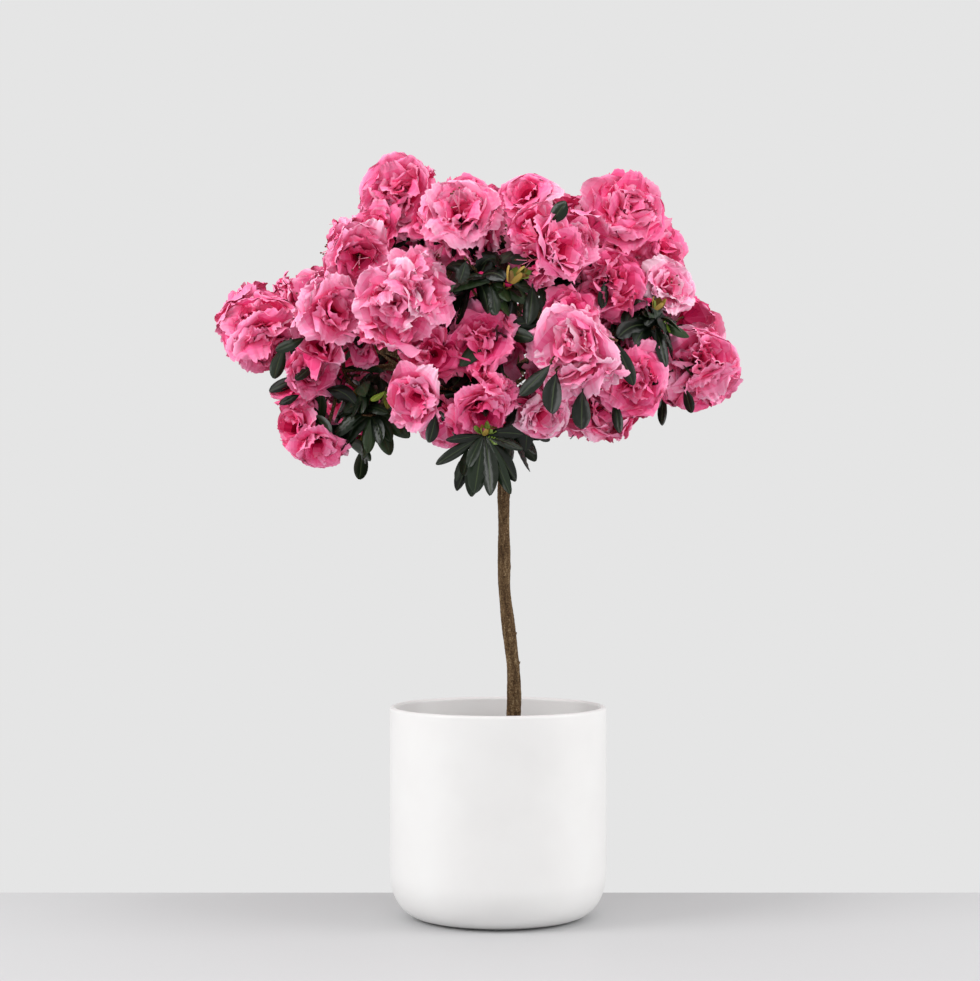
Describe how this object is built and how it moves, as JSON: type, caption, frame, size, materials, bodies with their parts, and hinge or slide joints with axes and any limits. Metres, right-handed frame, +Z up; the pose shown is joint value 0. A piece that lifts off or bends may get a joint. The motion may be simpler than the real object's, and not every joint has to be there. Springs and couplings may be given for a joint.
{
  "type": "potted azalea shrub on a stem",
  "caption": "Azalea shrub trained on one bare leaning stem: a wide, uneven crown of ruffled double pink blooms and dark leaves, in a round-footed white pot.",
  "frame": {"origin": "centre of the pot's flat underside, on the surface that the plant stands on", "axes": "+Z up the stem, -Y towards the front of the plant, +X to the plant's right as seen from the front"},
  "size_m": [0.4289, 0.3908, 0.626],
  "materials": {
    "white_pot": "smooth matt white glaze on stoneware",
    "compost": "damp peat and bark compost, crumbly",
    "bark": "brown, finely ridged bark",
    "blossom": "soft ruffled petals, pink with rose folds",
    "leaves": "leathery dark green leaves with a soft gloss"
  },
  "bodies": {
    "root": {"pot": "white_pot", "potting_soil": "compost", "trunk": "bark", "bough_left": "bark", "bough_front_left": "bark", "bough_right": "bark", "bough_back_left": "bark", "bough_front_right": "bark", "bough_back": "bark", "bough_lower_left": "bark", "bough_back_right": "bark", "bough_front": "bark", "bough_upper_left": "bark", "bough_upper_right": "bark", "bough_leader": "bark", "top_left": "blossom", "top_middle": "blossom", "top_back": "blossom", "top_centre": "blossom", "top_right": "blossom", "top_right_front": "blossom", "left_shoulder": "blossom", "left_tip": "blossom", "left_arm": "blossom", "left_low": "blossom", "left_hanging": "blossom", "front_left": "blossom", "front_low_left": "blossom", "front_low": "blossom", "front_middle": "blossom", "front_upper": "blossom", "front_right": "blossom", "low_middle": "blossom", "right_middle": "blossom", "right_shoulder": "blossom", "right_low": "blossom", "right_tip": "blossom", "back_top_left": "blossom", "back_top": "blossom", "back_top_right": "blossom", "back_left": "blossom", "back_outer_left": "blossom", "back_middle": "blossom", "back_outer_right": "blossom", "back_right": "blossom", "back_low_left": "blossom", "back_low": "blossom", "back_low_right": "blossom", "left_leaves": "leaves", "front_leaves": "leaves", "right_leaves": "leaves", "stem_top_leaves": "leaves"}
  },
  "joints": []
}
